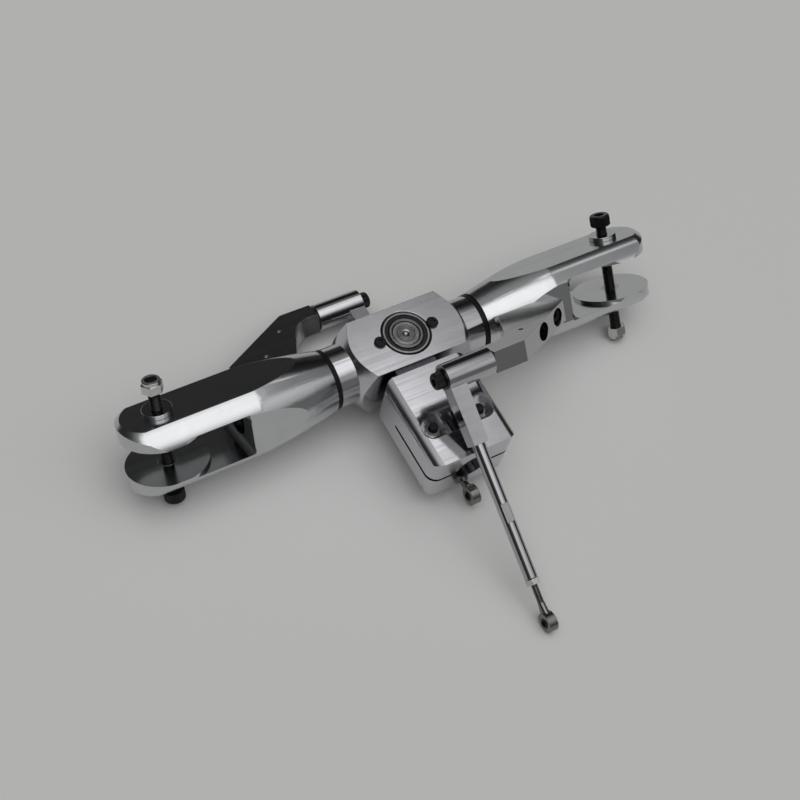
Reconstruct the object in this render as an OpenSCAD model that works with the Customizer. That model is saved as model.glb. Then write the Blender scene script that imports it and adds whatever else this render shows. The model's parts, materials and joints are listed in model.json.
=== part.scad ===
// Two-blade teetering rotor head, lying on its side on a bench.
// Each piece is drawn in a frame of its own and then set in its place.
// Hub frame: X along the blades, -Y along the mast, Z along the teeter pin.
// Grip frame: X out along the blade, -Y towards the pitch arm, Z along the blade bolt.
// Link frame: origin on the link's pivot, -Y along the link, X along its pivot screw.

/* [Hub block] */
// Width of the hub block, front to back
hub_w = 28.6; // [27:0.2:34]
// Height of the hub block along the teeter pin
hub_h = 30; // [29:0.5:36]
// Radius of the round boss at each end
boss_r = 13.2; // [12:0.1:13.4]
// Distance from the teeter pin to the face of each boss
boss_end = 35.6; // [34:0.2:40]
// Distance from the teeter pin to the foot of the turned nose
nose_foot = 27.4; // [26:0.2:30]
// Slope of the turned nose, in degrees from the blade axis
nose_angle = 52; // [40:1:65]

/* [Teeter hinge] */
// Diameter of the teeter pin
pin_d = 12; // [10:0.5:13]
// Outside diameter of a teeter bearing
teeter_bearing_d = 21; // [20:0.5:24]
// Width of a teeter bearing
teeter_bearing_w = 5; // [4:0.5:6]
// Height of the low heads of the bearing screws
low_head_h = 1.2; // [1:0.1:3]
// Lap of each bearing screw's head over its bearing
screw_lap = 0.3; // [0.2:0.1:0.8]
// Chamfer round the mouth of each teeter bearing's seat
seat_chamfer = 0.6; // [0.2:0.1:1]
// Thickness of the yoke's tongue
tongue_t = 12; // [10:0.5:14]
// Radius of the round eye of the tongue
tongue_r = 11.5; // [10:0.1:12]
// Room between the tongue and the slot in the hub
tongue_gap = 0.6; // [0.4:0.1:0.8]

/* [Yoke] */
// Width of the yoke across the mast
yoke_w = 40.5; // [36:0.5:50]
// Height of the yoke along the teeter pin
yoke_h = 26; // [24:0.5:28]
// Distance from the teeter pin to the mouth of the mast bore
mast_reach = 61.4; // [56:0.2:70]
// Room between the hub block and the yoke's shoulder
shoulder_gap = 2; // [1.8:0.1:3]
// Radius of the long edges of the yoke
yoke_edge_r = 4.5; // [2:0.5:6]
// Radius of the upright corners of the yoke
yoke_corner_r = 5; // [2:0.5:8]
// Diameter of the mast bore
mast_d = 15; // [12:0.5:16]
// Depth of the mast bore
mast_depth = 30; // [26:0.5:34]
// Width of the clamping slit
slit_w = 1.6; // [1:0.1:2.5]
// Distance of each clamp bolt from the mast axis
clamp_x = 11.2; // [10.8:0.1:14]
// Distance from the mast mouth back to the clamp bolts
clamp_setback = 17.8; // [14:0.2:22]
// Width of the pockets for the clamp bolts, along the mast
pocket_w = 11; // [10:0.5:13]
// Height of the yoke that is left between the two pockets
pocket_web = 13; // [10:0.5:16]
// Room from a clamp bolt's middle to the end of its pocket
pocket_room = 5.7; // [5:0.1:6]
// Radius of the corners of the clamp bolt pockets
pocket_corner_r = 4.5; // [2:0.5:5]

/* [Blade grips] */
// Radius of the turned body of a grip
grip_r = 19; // [18:0.2:22]
// Radius of a grip at its root
grip_root_r = 13.7; // [13:0.1:15]
// Distance from the teeter pin to the end of the turned curve
ogive_end = 74; // [66:1:84]
// Slope of the turned curve where it meets the straight body, in degrees
ogive_slope = 4; // [0.5:0.5:6]
// Thickness of a grip over its upper and lower flats
grip_flat_h = 32; // [30:0.5:36]
// Width of a grip over its two side flats
side_flat_w = 33.4; // [31:0.2:36]
// Distance from the teeter pin to the blade bolt
bolt_x = 111.2; // [104:0.2:125]
// Radius of the round tip about the blade bolt
tip_r = 17.5; // [16:0.5:20]
// Radius of the ball-turned end of a grip
end_r = 19.8; // [19:0.2:22]
// Distance from the blade bolt out to the middle of the ball-turned end
end_shift = 4; // [2:0.5:6]
// Gap between the two blade pads
slot_h = 16.5; // [12:0.5:18]
// Height of each blade pad
pad_t = 1.5; // [0.5:0.1:2.5]
// Distance from the teeter pin to the end of the blade pocket
pocket_end = 79; // [78:0.5:85]
// Radius of the corners of the blade pocket
pocket_r = 3; // [1:0.5:5]
// Thickness of the rubber damper at each grip's root
damper_t = 2; // [1:0.2:3]
// Running gap between a damper and its grip
damper_gap = 0.3; // [0.2:0.1:0.6]
// Radius of the rubber damper
damper_r = 13.4; // [12:0.1:13.6]

/* [Feathering bearings] */
// Diameter of the feathering spindle
spindle_d = 8; // [6:0.5:8]
// Outside diameter of the feathering bearings
feather_bearing_d = 16; // [15:0.5:17]
// Width of a feathering bearing
feather_bearing_w = 5; // [4:0.5:6]
// Distance between the two radial bearings of a grip
bearing_spread = 12; // [8:1:14]
// Depth of the first radial bearing behind the grip's root
bearing_inset = 2; // [1:0.5:4]
// Thickness of the web between the radial and the thrust bearing
web_t = 6; // [4:0.5:8]
// Thickness of a thrust bearing
thrust_w = 5; // [4.5:0.5:6]
// Thickness of the washer on the end of the spindle
end_washer_t = 1.6; // [1:0.2:2.5]

/* [Blade bolts] */
// Diameter of the blade bolts
blade_bolt_d = 5; // [4:0.5:6]
// Length of the blade bolts under the head
blade_bolt_l = 55; // [52:1:62]
// Play left between the left bolt and its blade bushes when nothing is clamped
bolt_rise_left = 5.4; // [1:0.1:6]
// Play left between the right bolt and its blade bushes when nothing is clamped
bolt_rise_right = 4.2; // [1:0.1:6]
// Diameter of the flange on a blade bush
bush_flange_d = 12.5; // [11:0.5:14]
// Thickness of the flange on a blade bush
bush_flange_t = 2; // [1:0.2:3]
// Diameter of a blade bush in its plate
bush_d = 8; // [7:0.5:9]

/* [Pitch arms] */
// Distance from the feathering axis to the link's pivot
arm_r = 45.3; // [42:0.2:52]
// Height of the arm's middle above the feathering axis
arm_z = 1; // [-2:0.5:3]
// Thickness of a pitch arm
arm_t = 9.5; // [9:0.5:12]
// Width of the arm at the link's pivot
arm_end_w = 9.4; // [9:0.2:12]
// Distance from the teeter pin to the arm's end face
arm_face = 18; // [16:0.5:22]
// Distance from the teeter pin to the start of the sloping outer edge
slope_start = 33; // [30:0.5:36]
// Distance from the teeter pin to the arm's outer end
arm_out = 69; // [67:0.5:74]
// Width of the arm left at its outer end
arm_out_w = 9.3; // [8:0.2:12]
// Radius of the hollow inner edge
hollow_r = 10.5; // [8:0.5:13]
// Lean of the hollow inner edge, in degrees
hollow_lean = 65; // [55:1:75]
// Distance from the teeter pin to the inner arm screw
arm_screw_x = 49.3; // [48.5:0.1:52]
// Spacing of the two arm screws
arm_screw_pitch = 13.1; // [11:0.1:15]
// Thickness of the arm under the screw heads
arm_seat_t = 6.5; // [5:0.5:9]

/* [Pitch links] */
// Length of a link, from its pivot to the eye, beyond the reach of the yoke
link_past = 46.4; // [44:0.2:56]
// Diameter of the link's pivot barrel
barrel_d = 12; // [11:0.5:14]
// Length of the pivot barrel
barrel_l = 22.2; // [20:0.2:26]
// Width of the link's bar at the barrel
bar_w = 7.8; // [7:0.2:10]
// Wall of the bar beside the rod at its lower end
bar_wall = 0.6; // [0.4:0.1:1]
// Thickness of the link's bar
bar_t = 7.2; // [7:0.2:9]
// Length of the bar below the pivot
bar_l = 30; // [26:0.5:36]
// Diameter of the link's round rod
rod_d = 5.6; // [5.2:0.2:6]
// Distance from the lower end of the rod to the eye
rod_short = 19.3; // [17:0.1:24]
// Width over the flats of the spanner grip on the rod
rod_flat_w = 4.6; // [4.2:0.1:5]
// Length of the spanner grip on the rod
rod_flat_l = 8; // [5:0.5:12]
// Diameter of the rod end's shank
shank_d = 3; // [2.5:0.1:3.4]
// Diameter of the rod end's eye
eye_d = 8.6; // [8:0.2:10]
// Width of the rod end's eye
eye_w = 4; // [3.4:0.2:4.6]
// Diameter of the rod end's ball
ball_d = 6; // [5.6:0.1:6.4]
// Width of the ball over its flats
ball_w = 5; // [4.8:0.1:5.2]
// Diameter of the bore through the ball
ball_bore = 3; // [2.5:0.1:3.2]

/* [Clearances] */
// Room round a piece that is fixed in its seat
fit_gap = 0.05; // [0.02:0.01:0.1]
// Room on the radius of a running fit
run_gap = 0.06; // [0.03:0.01:0.1]
// Room between the folded left link and the underside of the hub
link_room = 0.5; // [0.4:0.1:1.5]

/* [Resting pose] */
// Lean of the hub on the bench, in degrees
hub_tilt = 4; // [0:0.5:12]
// Turn of the left grip about the blade axis, in degrees
pitch_left = -27.5; // [-40:0.5:-20]
// Turn of the right grip about the blade axis, in degrees
pitch_right = -41.5; // [-50:0.5:-38]
// Dip of the right link below the mast direction, in degrees
dip_right = 25; // [10:0.5:27]

/* [Hidden] */
$fn = 64;
LEFT = 0;
RIGHT = 1;
over = 1;

// Colours of the finishes
alloy = [0.78, 0.79, 0.8];
alloy_dark = [0.66, 0.67, 0.69];
steel = [0.6, 0.61, 0.63];
black_steel = [0.09, 0.09, 0.1];
zinc = [0.72, 0.73, 0.75];
rubber = [0.06, 0.06, 0.06];

// Standard fasteners: shank sizes, and the other sizes as shares of the shank
m3_d = 3;
m4_d = 4;
head_ratio = 1.75;
key_ratio = 0.8;
nut_ratio = 1.6;
nut_h_ratio = 1.06;
nut_hex_share = 0.72;
nut_collar_share = 0.94;
bearing_screw_l = 5;
clamp_bolt_l = 20;
end_bolt_d = 5;
end_bolt_l = 14;
arm_screw_l = 12;
pivot_screw_l = 38;
head_room = 0.35;
chamfer = 0.4;

// Teeter hinge
pin_r = pin_d / 2;
pin_inset = 0.4;
pin_dimple_r = 1.6;
teeter_seat = hub_h / 2 - teeter_bearing_w;
teeter_ring_t = 1.35;
teeter_ball_d = 2.4;
teeter_ball_n = 11;
teeter_in = pin_r + fit_gap;
teeter_out = teeter_bearing_d / 2 - fit_gap;
teeter_ball_r = (teeter_in + teeter_out) / 2;
shield_t = 0.4;
shield_inset = 0.3;
shield_gap = 0.2;
spacer_wall = 1.9;
spacer_r = pin_r + spacer_wall;
bearing_screw_x = (teeter_bearing_d + m3_d * head_ratio) / 2 - screw_lap;
slot_half_h = tongue_t / 2 + tongue_gap;
slot_r = tongue_r + tongue_gap;
neck_inset = 1.7;
tongue_neck = 2 * (tongue_r - neck_inset);

// Yoke
yoke_back = hub_w / 2 + shoulder_gap;
clamp_y = mast_reach - clamp_setback;
pocket_l = 2 * (clamp_x + pocket_room);

// Feathering bearings along the blade axis
spindle_r = spindle_d / 2;
spindle_wall = 1.9;
spindle_in = slot_r + spindle_wall;
grip_root = boss_end + damper_t + damper_gap;
radial_x = grip_root + bearing_inset;
radial_far = radial_x + bearing_spread;
web_x = radial_far + feather_bearing_w;
thrust_x = web_x + web_t;
washer_x = thrust_x + thrust_w;
spindle_out = washer_x;
feather_r = feather_bearing_d / 2;
feather_ring_t = 1.3;
feather_ball_d = 2;
feather_ball_n = 9;
feather_in = spindle_r + fit_gap;
feather_out = feather_r - fit_gap;
feather_ball_r = (feather_in + feather_out) / 2;
thrust_ring_t = 1.5;
thrust_ball_n = 8;
thrust_groove = 0.15;
thrust_ball_d = thrust_w - 2 * (thrust_ring_t - thrust_groove);
thrust_ball_r = (spindle_r + feather_r) / 2;
web_gap = 1;
web_bore = spindle_r + web_gap;

// Grips
plate_out = grip_flat_h / 2;
pad_z = slot_h / 2;
pocket_z = pad_z + pad_t;
side_y = side_flat_w / 2;
bush_out = plate_out + bush_flange_t;
ogive_drop = grip_r - grip_root_r;
ogive_run = ogive_end - grip_root;
ogive_chord = sqrt(ogive_run * ogive_run + ogive_drop * ogive_drop);
ogive_arc = ogive_chord / (2 * sin(atan(ogive_drop / ogive_run) - ogive_slope));
ogive_mid = ogive_end + ogive_arc * sin(ogive_slope);
ogive_low = grip_r - ogive_arc * cos(ogive_slope);

// Pitch arms
arm_edge = arm_r + arm_end_w / 2;
hollow_ease = 0.05;
mark_d = 2;
mark_depth = 1;
mark_far_x = 34.2;
mark_far_y = 7.3;
mark_near_x = 20.8;
mark_near_y = 6.8;
arm_marks = [[arm_face + mark_far_x, side_y + mark_far_y], [arm_face + mark_near_x, arm_r - mark_near_y]];

// Links
barrel_gap = 0.5;
barrel_right = arm_face - barrel_gap;
barrel_left = barrel_right - barrel_l;
rod_x = barrel_left + bar_w / 2;
bar_end_w = rod_d + 2 * bar_wall;
link_l = mast_reach + link_past;
rod_end_y = link_l - rod_short;
pivot_drop = -arm_r * sin(pitch_left) - arm_z * cos(pitch_left);
dip_left = asin(((hub_h + bar_t) / 2 + link_room - pivot_drop) / bar_l);
race_d = 8;
race_l = 3;
race_lip = 1;
race_flange_d = 9.4;
race_flange_t = 0.4;
rod_in = 10;
rod_flat_y = 56;
jam_w = 5.5;
jam_t = 2.4;
jam_gap = 0.3;
shank_in = 9;

// Frames in which the pieces are set
module in_hub() {
    rotate([hub_tilt, 0, 0]) translate([0, mast_reach, 0]) children();
}

module in_grip(side) {
    pitch = side == LEFT ? pitch_left : pitch_right;
    in_hub() rotate([pitch, 0, 0]) rotate([0, 0, side == LEFT ? 180 : 0]) children();
}

module in_link(side) {
    swing = side == LEFT ? pitch_left - 180 - dip_left : dip_right - pitch_right;
    in_grip(side) translate([0, -arm_r, arm_z]) rotate([swing, 0, 0]) children();
}

// A cylinder that runs out along X from a start to an end
module rod_along_x(r, from, to) {
    translate([from, 0, 0]) rotate([0, 90, 0]) cylinder(r = r, h = to - from);
}

// A tube that runs along Z, with its groove for balls in the inner or the outer wall
module grooved_ring(r_in, r_out, w, groove_r, groove_d) {
    rotate_extrude() difference() {
        translate([r_in, 0]) square([r_out - r_in, w]);
        translate([groove_r, w / 2]) circle(d = groove_d);
    }
}

// A ring of balls about Z
module ball_ring(pitch_r, d, n) {
    for (i = [0 : n - 1]) rotate([0, 0, i * 360 / n]) translate([pitch_r, 0, 0]) sphere(d = d);
}

// A socket head cap screw whose head stands on Z = 0 and whose shank runs down
module cap_screw(d, l, head_h) {
    head_r = d * head_ratio / 2;
    key_r = d * key_ratio / sqrt(3);
    difference() {
        union() {
            cylinder(r = head_r, h = head_h - chamfer);
            translate([0, 0, head_h - chamfer]) cylinder(r1 = head_r, r2 = head_r - chamfer, h = chamfer);
            translate([0, 0, -l]) cylinder(d = d, h = l);
        }
        translate([0, 0, head_h / 2]) cylinder(r = key_r, h = head_h, $fn = 6);
    }
}

// A lock nut that stands on Z = 0, with a round collar for its insert
module lock_nut(d, bore_gap) {
    hex_h = d * nut_h_ratio * nut_hex_share;
    difference() {
        union() {
            cylinder(r = d * nut_ratio / sqrt(3), h = hex_h, $fn = 6);
            cylinder(r = d * nut_ratio / 2 * nut_collar_share, h = d * nut_h_ratio);
        }
        translate([0, 0, -over]) cylinder(d = d + 2 * bore_gap, h = 3 * d);
    }
}

// A rectangle about the origin with round corners
module round_rectangle(w, l, r) {
    square([w - 2 * r, l], center = true);
    square([w, l - 2 * r], center = true);
    for (x = [-1, 1], y = [-1, 1]) translate([x * (w / 2 - r), y * (l / 2 - r)]) circle(r = r);
}

// Yoke that clamps the mast and carries the teeter pin
module yoke_body() {
    l = mast_reach - yoke_back;
    intersection() {
        translate([0, -yoke_back - l / 2, -yoke_h]) linear_extrude(2 * yoke_h)
            round_rectangle(yoke_w, l, yoke_corner_r);
        rotate([90, 0, 0]) linear_extrude(mast_reach + over) round_rectangle(yoke_w, yoke_h, yoke_edge_r);
    }
    translate([-tongue_neck / 2, -yoke_back - over, -tongue_t / 2])
        cube([tongue_neck, yoke_back + over, tongue_t]);
    translate([0, 0, -tongue_t / 2]) cylinder(r = tongue_r, h = tongue_t);
}

module yoke() color(alloy) in_hub() difference() {
    yoke_body();
    translate([0, 0, -tongue_t]) cylinder(r = pin_r + fit_gap, h = 2 * tongue_t);
    translate([0, -mast_reach - over, 0]) rotate([-90, 0, 0]) cylinder(d = mast_d, h = mast_depth + over);
    translate([-yoke_w, -mast_reach - over, -slit_w / 2]) cube([2 * yoke_w, mast_depth + over, slit_w]);
    for (s = [0, 180]) rotate([0, s, 0]) translate([0, -clamp_y, pocket_web / 2]) linear_extrude(yoke_h)
        round_rectangle(pocket_l, pocket_w, pocket_corner_r);
    for (s = [-1, 1])
        translate([s * clamp_x, -clamp_y, -yoke_h]) cylinder(d = m4_d + 2 * fit_gap, h = 2 * yoke_h);
}

module clamp_bolts() color(black_steel) in_hub()
    for (s = [-1, 1]) translate([s * clamp_x, -clamp_y, -pocket_web / 2]) rotate([180, 0, 0])
        cap_screw(m4_d, clamp_bolt_l, m4_d);

module clamp_nuts() color(zinc) in_hub()
    for (s = [-1, 1]) translate([s * clamp_x, -clamp_y, pocket_web / 2]) lock_nut(m4_d, fit_gap);

// Teeter pin with a centre mark in each end
module teeter_pin() color(steel) in_hub() {
    half = hub_h / 2 - pin_inset;
    difference() {
        translate([0, 0, -half]) cylinder(r = pin_r, h = 2 * half);
        for (s = [0, 180]) rotate([s, 0, 0]) translate([0, 0, half - pin_dimple_r])
            cylinder(r1 = 0, r2 = pin_dimple_r, h = pin_dimple_r);
    }
}

module at_both_bearings() {
    for (s = [0, 180]) rotate([s, 0, 0]) translate([0, 0, teeter_seat]) children();
}

module teeter_spacers() color(steel) in_hub() at_both_bearings() {
    h = teeter_seat - tongue_t / 2;
    translate([0, 0, -h]) difference() {
        cylinder(r = spacer_r, h = h);
        translate([0, 0, -over]) cylinder(r = pin_r + fit_gap, h = h + 2 * over);
    }
}

module teeter_inner_rings() color(steel) in_hub() at_both_bearings()
    grooved_ring(teeter_in, teeter_in + teeter_ring_t, teeter_bearing_w,
                 teeter_ball_r, teeter_ball_d + 2 * run_gap);

module teeter_outer_rings() color(steel) in_hub() at_both_bearings()
    grooved_ring(teeter_out - teeter_ring_t, teeter_out, teeter_bearing_w,
                 teeter_ball_r, teeter_ball_d + 2 * run_gap);

module teeter_balls() color(steel) in_hub() at_both_bearings()
    translate([0, 0, teeter_bearing_w / 2]) ball_ring(teeter_ball_r, teeter_ball_d, teeter_ball_n);

// Thin covers that close each teeter bearing
module teeter_shields() color(alloy_dark) in_hub() at_both_bearings() {
    r_in = teeter_in + teeter_ring_t + shield_gap;
    r_out = teeter_out - teeter_ring_t - fit_gap;
    translate([0, 0, teeter_bearing_w - shield_inset - shield_t]) difference() {
        cylinder(r = r_out, h = shield_t);
        translate([0, 0, -over]) cylinder(r = r_in, h = shield_t + 2 * over);
    }
}

module at_bearing_screws() {
    for (t = [0, 180]) rotate([t, 0, 0]) for (s = [-1, 1])
        translate([s * bearing_screw_x, 0, hub_h / 2]) children();
}

module bearing_screws() color(black_steel) in_hub() at_bearing_screws() cap_screw(m3_d, bearing_screw_l, low_head_h);

// Hub block: a bar with turned noses, a round boss at each end and a slot for the tongue
module hub_profile() {
    rise = (hub_w + hub_h) / 2;
    polygon([
        [0, -boss_end], [boss_r, -boss_end], [boss_r, -nose_foot],
        [boss_r + rise, -nose_foot + rise / tan(nose_angle)],
        [boss_r + rise, nose_foot - rise / tan(nose_angle)],
        [boss_r, nose_foot], [boss_r, boss_end], [0, boss_end]
    ]);
}

module hub_block() color(alloy) in_hub() difference() {
    intersection() {
        translate([-boss_end, -hub_w / 2, -hub_h / 2]) cube([2 * boss_end, hub_w, hub_h]);
        rotate([0, 90, 0]) rotate_extrude() hub_profile();
    }
    translate([0, 0, -slot_half_h]) cylinder(r = slot_r, h = 2 * slot_half_h);
    translate([-slot_r, -hub_w, -slot_half_h]) cube([2 * slot_r, hub_w, 2 * slot_half_h]);
    translate([0, 0, -hub_h]) cylinder(r = spacer_r + tongue_gap, h = 2 * hub_h);
    at_both_bearings() {
        cylinder(d = teeter_bearing_d, h = hub_h);
        translate([0, 0, teeter_bearing_w - seat_chamfer])
            cylinder(r1 = teeter_bearing_d / 2, r2 = teeter_bearing_d / 2 + seat_chamfer, h = seat_chamfer);
    }
    at_bearing_screws() translate([0, 0, -bearing_screw_l - over])
        cylinder(d = m3_d + 2 * fit_gap, h = bearing_screw_l + 2 * over);
    for (s = [0, 180]) rotate([0, 0, s]) rod_along_x(spindle_r + fit_gap, spindle_in, boss_end + over);
}

// Feathering spindles, screwed into the bosses
module spindle(side) color(steel) in_hub() rotate([0, 0, side == LEFT ? 180 : 0]) difference() {
    rod_along_x(spindle_r, spindle_in, spindle_out);
    rod_along_x(end_bolt_d / 2 + fit_gap, spindle_out - end_bolt_l, spindle_out + over);
}

module spindle_left() spindle(LEFT);
module spindle_right() spindle(RIGHT);

module at_both_ends() {
    for (s = [0, 180]) in_hub() rotate([0, 0, s]) children();
}

module dampers() color(rubber) at_both_ends() difference() {
    rod_along_x(damper_r, boss_end, boss_end + damper_t);
    rod_along_x(spindle_r + fit_gap, boss_end - over, boss_end + damper_t + over);
}

// Radial bearings of the grips
module at_radial_bearings() {
    for (x = [radial_x, radial_far]) translate([x, 0, 0]) rotate([0, 90, 0]) children();
}

module feather_inner_rings() color(steel) at_both_ends() at_radial_bearings()
    grooved_ring(feather_in, feather_in + feather_ring_t, feather_bearing_w,
                 feather_ball_r, feather_ball_d + 2 * run_gap);

module feather_outer_rings(side) color(steel) in_grip(side) at_radial_bearings()
    grooved_ring(feather_out - feather_ring_t, feather_out, feather_bearing_w,
                 feather_ball_r, feather_ball_d + 2 * run_gap);

module feather_balls(side) color(steel) in_grip(side) at_radial_bearings()
    translate([0, 0, feather_bearing_w / 2]) ball_ring(feather_ball_r, feather_ball_d, feather_ball_n);

module feather_outer_rings_left() feather_outer_rings(LEFT);
module feather_outer_rings_right() feather_outer_rings(RIGHT);
module feather_balls_left() feather_balls(LEFT);
module feather_balls_right() feather_balls(RIGHT);

// Thrust bearings that take the pull of the blades
module thrust_ring(r_in, r_out) {
    rotate_extrude() difference() {
        translate([r_in, 0]) square([r_out - r_in, thrust_ring_t]);
        translate([thrust_ball_r, thrust_w / 2]) circle(d = thrust_ball_d + 2 * run_gap);
    }
}

module grip_thrust_ring(side) color(steel) in_grip(side)
    translate([thrust_x, 0, 0]) rotate([0, 90, 0]) thrust_ring(web_bore, feather_r);

module thrust_balls(side) color(steel) in_grip(side)
    translate([thrust_x + thrust_w / 2, 0, 0]) rotate([0, 90, 0])
        ball_ring(thrust_ball_r, thrust_ball_d, thrust_ball_n);

module grip_thrust_ring_left() grip_thrust_ring(LEFT);
module grip_thrust_ring_right() grip_thrust_ring(RIGHT);
module thrust_balls_left() thrust_balls(LEFT);
module thrust_balls_right() thrust_balls(RIGHT);

module spindle_thrust_rings() color(steel) at_both_ends()
    translate([washer_x, 0, 0]) rotate([0, -90, 0]) thrust_ring(feather_in, feather_r);

module spindle_washers() color(zinc) at_both_ends() difference() {
    rod_along_x(feather_r, washer_x, washer_x + end_washer_t);
    rod_along_x(end_bolt_d / 2 + fit_gap, washer_x - over, washer_x + end_washer_t + over);
}

module spindle_bolts() color(black_steel) at_both_ends()
    translate([washer_x + end_washer_t, 0, 0]) rotate([0, 90, 0]) cap_screw(end_bolt_d, end_bolt_l, end_bolt_d);

// Blade grip: a turned ogive with flats, a fork with round blade pads and a bearing tunnel
module grip_profile() {
    reach = bolt_x + tip_r;
    end_x = bolt_x + end_shift;
    union() {
        translate([0, ogive_mid]) square([grip_r, end_x - ogive_mid]);
        intersection() {
            translate([0, end_x - over]) square([grip_r, reach - end_x + over]);
            translate([0, end_x]) circle(r = end_r, $fn = 360);
        }
        intersection() {
            translate([0, grip_root]) square([grip_r, ogive_mid - grip_root + over]);
            translate([ogive_low, ogive_mid]) circle(r = ogive_arc, $fn = 360);
        }
    }
}

module grip_body() {
    intersection() {
        rotate([0, 90, 0]) rotate_extrude() grip_profile();
        translate([0, -grip_r - over, -plate_out])
            cube([bolt_x + 2 * tip_r, 2 * (grip_r + over), grip_flat_h]);
        union() {
            translate([0, -2 * grip_r, -grip_r]) cube([bolt_x, 4 * grip_r, 2 * grip_r]);
            translate([bolt_x, 0, -grip_r]) cylinder(r = tip_r, h = 2 * grip_r);
        }
    }
}

module blade_slot() {
    deep = 2 * grip_r;
    out = bolt_x + 2 * tip_r;
    translate([pocket_end + pocket_r, -deep, -pad_z]) cube([out, 2 * deep, slot_h]);
    difference() {
        union() {
            translate([pocket_end + pocket_r, -deep, -pocket_z]) cube([out, 2 * deep, 2 * pocket_z]);
            translate([pocket_end, -deep, -pocket_z + pocket_r])
                cube([out, 2 * deep, 2 * (pocket_z - pocket_r)]);
            for (s = [-1, 1]) translate([pocket_end + pocket_r, deep, s * (pocket_z - pocket_r)])
                rotate([90, 0, 0]) cylinder(r = pocket_r, h = 2 * deep);
        }
        for (s = [0, 180]) rotate([s, 0, 0]) translate([bolt_x, 0, pad_z]) cylinder(r = tip_r, h = grip_r);
    }
}

module at_arm_screws() {
    for (i = [0, 1]) translate([arm_screw_x + i * arm_screw_pitch, -side_y - arm_seat_t, arm_z])
        rotate([90, 0, 0]) children();
}

module grip(side) color(alloy) in_grip(side) difference() {
    grip_body();
    blade_slot();
    for (s = [-1, 1]) translate([-over, s == 1 ? side_y : -side_y - grip_r, -grip_r])
        cube([pocket_end + over, grip_r, 2 * grip_r]);
    rod_along_x(feather_r, grip_root - over, web_x);
    rod_along_x(web_bore, web_x - over, thrust_x + over);
    rod_along_x(feather_r + fit_gap, thrust_x, pocket_end + pocket_r);
    translate([bolt_x, 0, -grip_r]) cylinder(r = bush_d / 2 + fit_gap, h = 2 * grip_r);
    at_arm_screws() translate([0, 0, -arm_screw_l - over])
        cylinder(d = m4_d + 2 * fit_gap, h = arm_screw_l);
}

module grip_left() grip(LEFT);
module grip_right() grip(RIGHT);

// Flanged bushes that carry the blade bolt in both plates
module blade_bushes(side) color(alloy_dark) in_grip(side)
    for (s = [0, 180]) translate([bolt_x, 0, 0]) rotate([s, 0, 0]) difference() {
        union() {
            translate([0, 0, pad_z]) cylinder(d = bush_d, h = plate_out - pad_z);
            translate([0, 0, plate_out]) cylinder(d = bush_flange_d, h = bush_flange_t);
        }
        translate([0, 0, -over]) cylinder(d = blade_bolt_d + 2 * fit_gap, h = 2 * grip_r);
    }

module blade_bushes_left() blade_bushes(LEFT);
module blade_bushes_right() blade_bushes(RIGHT);

// The left bolt hangs head down, the right one stands head up
module at_blade_bolt(side) {
    rise = side == LEFT ? bolt_rise_left : bolt_rise_right;
    in_grip(side) translate([bolt_x, 0, 0]) rotate([side == LEFT ? 180 : 0, 0, 0])
        translate([0, 0, bush_out + rise]) children();
}

module blade_bolt(side) color(black_steel) at_blade_bolt(side)
    cap_screw(blade_bolt_d, blade_bolt_l, blade_bolt_d);

module blade_nut(side) color(zinc) at_blade_bolt(side)
    translate([0, 0, -blade_bolt_l + blade_bolt_d * nut_h_ratio]) rotate([180, 0, 0])
        lock_nut(blade_bolt_d, fit_gap);

module blade_bolt_left() blade_bolt(LEFT);
module blade_bolt_right() blade_bolt(RIGHT);
module blade_nut_left() blade_nut(LEFT);
module blade_nut_right() blade_nut(RIGHT);

// Pitch arm: a plate with a sloping outer edge and a hollow inner edge, screwed to the side flat
module arm_outline() {
    hollow_y = arm_end_w + hollow_r - arm_edge;
    difference() {
        polygon([
            [arm_face, -arm_edge], [slope_start, -arm_edge], [arm_out, -side_y - arm_out_w],
            [arm_out, -side_y], [arm_face + hollow_r, -side_y], [arm_face, -side_y - hollow_r]
        ]);
        translate([arm_face + hollow_r / 2, hollow_y]) {
            circle(r = hollow_r);
            rotate(hollow_lean) translate([0, hollow_ease - hollow_r]) square([2 * arm_r, 2 * hollow_r]);
            translate([-2 * hollow_r, hollow_ease - hollow_r]) square([2 * hollow_r, 4 * hollow_r]);
        }
    }
}

module pitch_arm(side) color(alloy_dark) in_grip(side) difference() {
    translate([0, 0, arm_z - arm_t / 2]) linear_extrude(arm_t) arm_outline();
    at_arm_screws() {
        cylinder(r = m4_d * head_ratio / 2 + head_room, h = arm_r);
        translate([0, 0, -arm_seat_t - over]) cylinder(d = m4_d + 2 * fit_gap, h = arm_seat_t + 2 * over);
    }
    translate([0, -arm_r, arm_z])
        rod_along_x(m4_d / 2 + fit_gap, arm_face - over, barrel_left + pivot_screw_l);
    for (p = arm_marks) translate([p[0], -p[1], arm_z + arm_t / 2 - mark_depth])
        cylinder(d = mark_d, h = mark_depth + over);
}

module pitch_arm_left() pitch_arm(LEFT);
module pitch_arm_right() pitch_arm(RIGHT);

module arm_screws(side) color(black_steel) in_grip(side) at_arm_screws()
    cap_screw(m4_d, arm_screw_l, m4_d);

module arm_screws_left() arm_screws(LEFT);
module arm_screws_right() arm_screws(RIGHT);

// Screw on which a link turns, fixed in the end of its arm
module pivot_screw(side) color(black_steel) in_grip(side)
    translate([barrel_left - race_flange_t - run_gap, -arm_r, arm_z]) rotate([0, -90, 0])
        cap_screw(m4_d, pivot_screw_l, m4_d);

module pivot_screw_left() pivot_screw(LEFT);
module pivot_screw_right() pivot_screw(RIGHT);

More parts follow.
